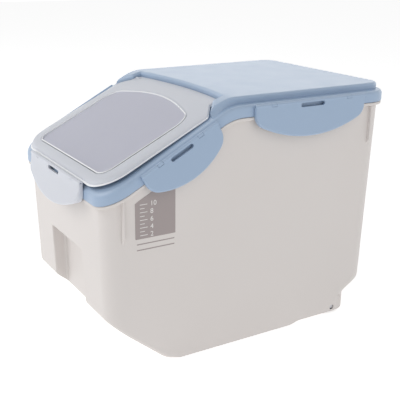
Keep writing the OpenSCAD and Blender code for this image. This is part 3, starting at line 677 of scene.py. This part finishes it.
def latch(length, depth, edge_r, corner_r, flare, slot_l, hook_z, hook_x):
    """One flap, drawn as the ears are. Its plate flares out from the band down to its edge, and
    the ridge inside it stands hook_z below the hinge's line and reaches in to hook_x."""
    half, steep = length / 2, flare / (depth + band_z)

    def face(z):
        return face_x + steep * max(0, band_z - z)

    flap = half_moon(half, depth, edge_r, corner_r, wall_x, face_x + flare + 1)
    profile = [(wall_x - 1, brow_z, 0), (barrel_x + brow_out, brow_low, brow_r), (face_x, band_z, 0),
               (face(-depth - 1), -depth - 1, 0), (wall_x - 1, -depth - 1, 0)]
    carve(flap, solid("profile", profile, -half - 1, half + 1, "XZ"), "INTERSECT")
    flatten(flap, 0.3)
    round_edges(flap, plate_round, lambda p, d: p.z < band_z / 2 and p.x > face(p.z) - 0.6
                and (abs(p.z - band_z) > 2 * hair or abs(d.y) < mostly), 5)
    hollow = half_moon(half - plate_t, depth - plate_t, edge_r - plate_t, corner_r - plate_t,
                       -1, face_x + flare)
    inside = [(-2, barrel_z - 3, 0), (barrel_x - 0.3, barrel_z - 3, 0), (face_x - plate_t, band_z, 0),
              (face(-depth) - plate_t, -depth, 0), (-2, -depth, 0)]
    carve(hollow, solid("inside", inside, -half - 1, half + 1, "XZ"), "INTERSECT")
    carve(flap, hollow)
    inner = face(-hook_z) - plate_t + hook_bite
    ridge = [(inner, -hook_z, 0), (hook_x, -hook_z, 0), (hook_x, -hook_z - hook_h / 2, 0),
             (inner, -hook_z - hook_h, 0)]
    carve(flap, solid("ridge", ridge, hook_inset - half, half - hook_inset, "XZ"), "UNION")
    carve(flap, rod("barrel", barrel_r, 0.03 - half, half - 0.03, barrel_x, barrel_z, "Y"), "UNION")
    r = slot_h / 2
    slot = box_outline(slot_l / 2, slot_z - r, slot_z + r, r * 0.98)      # whose end arcs don't quite meet
    carve(flap, solid("slot", slot, -past, 2 * past, "YZ"))
    for middle in (ear_inset - half, half - ear_inset):
        start, end = middle - ear_w / 2 - gap, middle + ear_w / 2 + gap
        carve(flap, rod("gap", barrel_r + gap, start, end, barrel_x, barrel_z, "Y"))
        low, high = barrel_z - 2, barrel_z + 2.1
        behind = [(-2, low, 0), (barrel_x + 1, low, 0), (barrel_x + 1, high, 0), (-2, high, 0)]
        carve(flap, solid("gap", behind, start + 2 * slip, end - 2 * slip, "XZ"))
    carve(flap, rod("bore", pin_bore_r, -half - 1, half + 1, barrel_x, barrel_z, "Y", 24))
    return flap


def placed(piece, name, move):
    """Carries a piece from where it was drawn to its place on the lid, by a move in mm."""
    origin = Matrix.Translation(at(0, 0, 0))
    bpy.ops.object.select_all(action="DESELECT")
    piece.select_set(True)
    bpy.context.view_layer.objects.active = piece
    move = move.copy()
    move.translation = move.translation * MM
    piece.matrix_world = origin @ move @ origin.inverted()
    bpy.ops.object.transform_apply(location=True, rotation=True, scale=True)
    piece.name = piece.data.name = name
    return piece


front_z = ledge_z - bend_y * tan(slope)
rear_latch_y, front_latch_run, side_root = 235, 88, 2
at_rear = Matrix.Translation((lid_half, rear_latch_y, ledge_z))
at_front = (Matrix.Translation((lid_half, 0, front_z)) @ Matrix.Rotation(slope, 4, "X")
            @ Matrix.Translation((0, front_latch_run, 0)))
side_corner_r, side_flare = 16, 1.5
for spot_name, move, length, depth, edge_r, slot_l, hook_z in (
        ("rear", at_rear, 142, 38, 148, 31, 16.0), ("front", at_front, 93, 35.2, 78, 27, 14.2)):
    flap = latch(length, depth, edge_r, side_corner_r, side_flare, slot_l, hook_z, 0)
    right = placed(flap, "flap_right_" + spot_name, move)
    smooth(right)
    left = mirrored(right, "flap_left_" + spot_name)
    dress(right, "latch_right_" + spot_name, "lid_plastic", blue, "latch_right_" + spot_name)
    dress(left, "latch_left_" + spot_name, "lid_plastic", blue, "latch_left_" + spot_name)
    lugs = placed(ears(length, side_root), "lugs_right_" + spot_name, move)
    smooth(lugs)
    dress(lugs, "main_lid", "lid_plastic", blue)
    dress(mirrored(lugs, "lugs_left_" + spot_name), "main_lid", "lid_plastic", blue)

# ---- Flip lid ----
# The see-through lid over the pour opening, in natural polypropylene: a flange, a raised hollow
# body, a bead round the window, and a heel that turns on two steel pins between the cheeks.
heel_z, flip_t, rim_t, rim_w, heel_r = ledge_z + 1.1, 1.6, 1.3, 1, 3
side_gap, heel_gap, cheek_gap, rear_gap, front_gap, flip_r = 10.4, 0.6, 2.6, 0.9, 0.8, 30


def flip_foot(rise):
    """Where the flip lid's side line bends, for a face that is rise above the ledge's line."""
    return bend_y + (heel_z - ledge_z - rise) / tan(slope)


def flip_outline(inset):
    """The flip lid seen from above: rounded in front, narrow between the cheeks, bowed behind."""
    side, heel = lid_half - side_gap - inset, recess_half - heel_gap - inset
    front, cheek = front_gap + inset, cheek_y - cheek_gap - inset * 0.6
    rear = recess_mid - rear_gap - (recess_r - sqrt(recess_r ** 2 - heel ** 2))
    reach = heel ** 2 / sqrt(recess_r ** 2 - heel ** 2)
    return [(-side, front, flip_r - inset), (side, front, flip_r - inset), (side, cheek, heel_r),
            (heel, cheek + cheek_run, heel_r), (heel, rear, 0), (0, rear + reach, recess_r), (-heel, rear, 0),
            (-heel, cheek + cheek_run, heel_r), (-side, cheek, heel_r)]


def window(grow, low, high):
    """A block on the window's outline, whose rear edge is a shallow arc."""
    side, front, rear, middle = 88 + grow, 12.5 - grow, 107.2 + 0.8 * grow, 128 + grow
    front_r, rear_r, arc_r = 12 + grow, 20 + grow, 240 + grow
    return solid("window", [(-side, front, front_r), (side, front, front_r), (side, rear, rear_r),
                            (0, middle, arc_r), (-side, rear, rear_r)], low, high)


def press(piece, rise, tip):
    """Lays a piece that was drawn level down the slope, rise above the ledge's line. From tip_end
    to its front it is tipped up, where the rim of the flip lid stands clear of the main lid."""
    drape(piece, flip_foot(rise))
    slice_through(piece, at(0, tip_end, 0), (0, 1, 0))
    shift_up(piece, tip, lambda p: max(0, min(1, 1 - p.y / tip_end)))


top_rise, top_tip, foot_rise, foot_tip, tip_end = 3.9, 5.4, 0.8, 3.4, 121
flip_shell = solid("flip_shell", flip_outline(rim_w + 0.3), heel_z - rim_t, heel_z)
press(flip_shell, foot_rise + rim_t, foot_tip)

# Its top falls away a little outside facet_x and in front of facet_y.
top_t, top_edge, edge_end = 4, 2.6, 116
facet_x, facet_y, facet_fall, facet_w = 100, 9, 0.8, 6
flip_top = solid("flip_top", flip_outline(rim_w), heel_z - top_t, heel_z)
round_edges(flip_top, top_edge, lambda p, d: p.z > heel_z - hair and p.y < edge_end, 5)
for place, across in ((at(-facet_x, 0, 0), (1, 0, 0)), (at(facet_x, 0, 0), (1, 0, 0)),
                      (at(0, facet_y, 0), (0, 1, 0))):
    slice_through(flip_top, place, across)
shift_up(flip_top, -facet_fall, lambda p: (p.z > heel_z - 3)
         * max(0, min(1, max(abs(p.x) - facet_x, facet_y - p.y) / facet_w)))
press(flip_top, top_rise, top_tip)
carve(flip_shell, flip_top, "UNION")
hollow_rear = 133.6
inside = flip_outline(rim_w + flip_t)
heel = inside[3][0]
hollow = solid("hollow", inside[:4] + [(heel, hollow_rear, 0), (-heel, hollow_rear, 0)] + inside[-2:],
               heel_z - beyond, heel_z - flip_t / cos(slope))
press(hollow, top_rise, top_tip)
carve(flip_shell, hollow)
bead_w, groove_w, groove_depth, through = 0.9, 2.1, 0.7, 9
groove = window(groove_w, heel_z - groove_depth, heel_z + 2)
carve(groove, window(bead_w, heel_z - through, heel_z + through))
press(groove, top_rise, top_tip)
carve(flip_shell, groove)
opening = window(0, heel_z - beyond, heel_z + beyond)
press(opening, top_rise, top_tip)
carve(flip_shell, opening)
knuckle_r, knuckle_l, hinge_bore_r = 2.2, 9, 1.26
for side in (-1, 1):
    low, high = sorted((side * (recess_half - heel_gap - knuckle_l), side * (recess_half - heel_gap)))
    carve(flip_shell, rod("knuckle", knuckle_r, low, high, pivot_y, pivot_z), "UNION")
    carve(flip_shell, rod("bore", hinge_bore_r, low - 1, high + 1, pivot_y, pivot_z, "X", 24))
smooth(flip_shell)
milky = moulded("clear_plastic", colour(228, 231, 238), colour(221, 224, 232), 0.4, 0.4,
                **{"Transmission Weight": 0.1, "IOR": 1.2})
dress(flip_shell, "flip_lid", "clear_plastic", milky, "flip_lid")

# The bead round the window and the thin lip at the flange's edge, in a near-white that paints the highlight
# along both.
bead_t, bead_edge, bead_rise, lip_edge = 1.9, 0.5, 0.45, 0.4
window_bead = window(bead_w, heel_z - bead_t, heel_z)
round_edges(window_bead, bead_edge, lambda p, d: p.z > heel_z - hair, 3)
carve(window_bead, window(-0.1, heel_z - through, heel_z + through))
press(window_bead, top_rise + bead_rise, top_tip)
window_bead.name = window_bead.data.name = "window_bead"
flip_lip = solid("flip_lip", flip_outline(-0.2), heel_z - rim_t, heel_z)
round_edges(flip_lip, lip_edge, lambda p, d: abs(d.z) < hair, 2)
carve(flip_lip, solid("hole", flip_outline(rim_w + 0.05), heel_z - through, heel_z + through))
press(flip_lip, foot_rise + rim_t, foot_tip)
# A painted highlight: near-white, lighter than the milky plastic that the bead and the lip are made of.
painted_highlight = moulded("painted_highlight_edge", colour(250, 251, 253), colour(246, 248, 251), 0.3, 0.3)
for piece in (window_bead, flip_lip):
    smooth(piece)
    dress(piece, "flip_lid", "clear_plastic", painted_highlight)

pane_top, pane_t, pane_dip = 0.5, 0.4, 1.2        # its front lies deeper, as far as the seal lets it
flip_window = window(-0.02, heel_z - pane_top - pane_t, heel_z - pane_top)
press(flip_window, top_rise, top_tip - pane_dip)
flip_window.name = flip_window.data.name = "flip_window"
smooth(flip_window)
frosted = moulded("window_plastic", colour(217, 218, 230), colour(211, 212, 224), 0.5, 0.4,
                  **{"Transmission Weight": 0.2, "IOR": 1.2})
dress(flip_window, "flip_lid", "clear_plastic", frosted)

flip_latch_l, flip_latch_rise, flip_root = 141, 6.7, 2.6
at_flip = Matrix.Translation((0, 0, front_z + flip_latch_rise)) @ Matrix.Rotation(-pi / 2, 4, "Z")
flip_lugs = placed(ears(flip_latch_l, flip_root), "flip_lugs", at_flip)
smooth(flip_lugs)
dress(flip_lugs, "flip_lid", "clear_plastic", milky)
flip_flap = placed(latch(flip_latch_l, 37, 150, 12, 7, 29.5, 15.5, 1.5), "flip_flap", at_flip)
smooth(flip_flap)
dress(flip_flap, "flip_latch", "clear_plastic", milky, "flip_latch")

# ---- Pins and seals ----
# Drawn steel pins pressed into the lugs and bosses, and white silicone rings under the two lids.
# Both are the CAD's own solids, which only get their materials here.
steel = moulded("pin_steel", colour(200, 200, 203), colour(188, 188, 192), 0.3, 0.2, Metallic=1.0)
rubber = moulded("silicone", colour(240, 242, 244), colour(233, 236, 239), 0.55, 0.5)
pins = ("axle_pin_left", "axle_pin_right", "flip_hinge_pin_left", "flip_hinge_pin_right", "flip_latch_pin",
        "latch_pin_right_rear", "latch_pin_right_front", "latch_pin_left_rear", "latch_pin_left_front")
for nodes, material in ((pins, steel), (("main_lid_seal", "flip_lid_seal"), rubber)):
    for node in nodes:
        bpy.data.objects[node].data.materials.clear()
        bpy.data.objects[node].data.materials.append(material)

# ---- Studio ----
# A white sweep with soft light from the upper left, and the camera where the photograph was taken.
floor_size, floor_glow, sky_seen, sky_ambient, sky_mirrored = 12, 0.5, 1.1, 0.48, 1.6
lamp_size, key_place, key_power, fill_place, fill_power = 1.2, (-1.0, -1.7, 1.4), 14, (1.5, 0.2, 1.5), 3.5
bpy.ops.object.select_all(action="DESELECT")
bpy.ops.mesh.primitive_plane_add(size=floor_size, location=(0, 0, 0))
floor = bpy.context.object
floor.name = "floor"
paper = bpy.data.materials.new("paper")
paper.use_nodes = True
sheet = paper.node_tree.nodes["Principled BSDF"]
for socket, value in (("Base Color", colour(250, 250, 250)), ("Roughness", 0.9), ("Specular IOR Level", 0),
                      ("Emission Color", (1, 1, 1, 1)), ("Emission Strength", floor_glow)):
    sheet.inputs[socket].default_value = value
floor.data.materials.append(paper)

for name, place, power in (("key", key_place, key_power), ("fill", fill_place, fill_power)):
    lamp = bpy.data.lights.new(name, "AREA")
    lamp.shape, lamp.size, lamp.energy = "SQUARE", lamp_size, power
    light = bpy.data.objects.new(name, lamp)
    bpy.context.collection.objects.link(light)
    light.location = place
    light.rotation_euler = (Vector((0, 0, 0.1)) - Vector(place)).to_track_quat("-Z", "Y").to_euler()

world = bpy.data.worlds.new("studio")
bpy.context.scene.world = world
world.use_nodes = True
seen = world.node_tree.nodes.new("ShaderNodeLightPath").outputs
strength = (Wire(world.node_tree, seen["Is Camera Ray"]) * (sky_seen - sky_ambient)
            + Wire(world.node_tree, seen["Is Glossy Ray"]) * (sky_mirrored - sky_ambient) + sky_ambient)
sky = world.node_tree.nodes["Background"].inputs
sky["Color"].default_value = (1, 1, 1, 1)
world.node_tree.links.new(strength.socket, sky["Strength"])
bpy.context.scene.view_settings.view_transform = "Standard"

lens_mm, bearing, tilt, roll = 67.58, radians(59.16), radians(90 - 18.1), radians(0.36)
eye = at(721.97, -257.69, 402.62)
camera_data = bpy.data.cameras.new("camera")
camera = bpy.data.objects.new("camera", camera_data)
bpy.context.collection.objects.link(camera)
camera_data.sensor_width, camera_data.lens = 36, lens_mm
turn = Matrix.Rotation(bearing, 4, "Z") @ Matrix.Rotation(tilt, 4, "X") @ Matrix.Rotation(roll, 4, "Z")
camera.matrix_world = Matrix.Translation(eye) @ turn
bpy.context.scene.camera = camera
